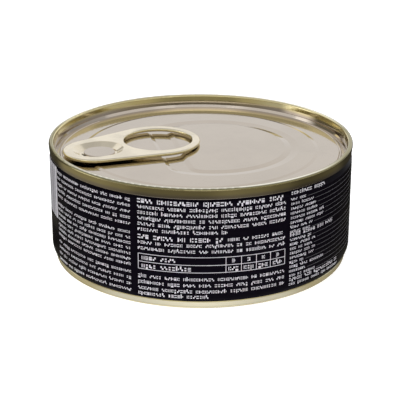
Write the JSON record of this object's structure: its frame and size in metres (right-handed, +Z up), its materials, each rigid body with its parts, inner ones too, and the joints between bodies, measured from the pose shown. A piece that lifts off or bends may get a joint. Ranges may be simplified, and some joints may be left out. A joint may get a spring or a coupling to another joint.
{
  "type": "easy-open pet food can",
  "caption": "Shut low round can of cat food with a double-seamed easy-open end, ring-pull tab and black printed wall over a bare gold foot.",
  "frame": {"origin": "on the can's axis, in the plane of its foot", "axes": "+Z up the can's axis towards the end with the tab, -Y the front"},
  "size_m": [0.076, 0.076, 0.0302],
  "materials": {
    "printed_wall": "gloss black print over tinplate, with a bare gold-lacquered foot",
    "end_metal": "gold-lacquered tinplate, smooth and bright",
    "tab_metal": "pale gold-lacquered tinplate, satin",
    "foot_metal": "bare gold-lacquered tinplate of the foot",
    "print_marks": "pale printed marks and panels"
  },
  "bodies": {
    "root": {"can_body": "printed_wall", "can_end": "end_metal", "pull_tab": "tab_metal"}
  },
  "joints": []
}
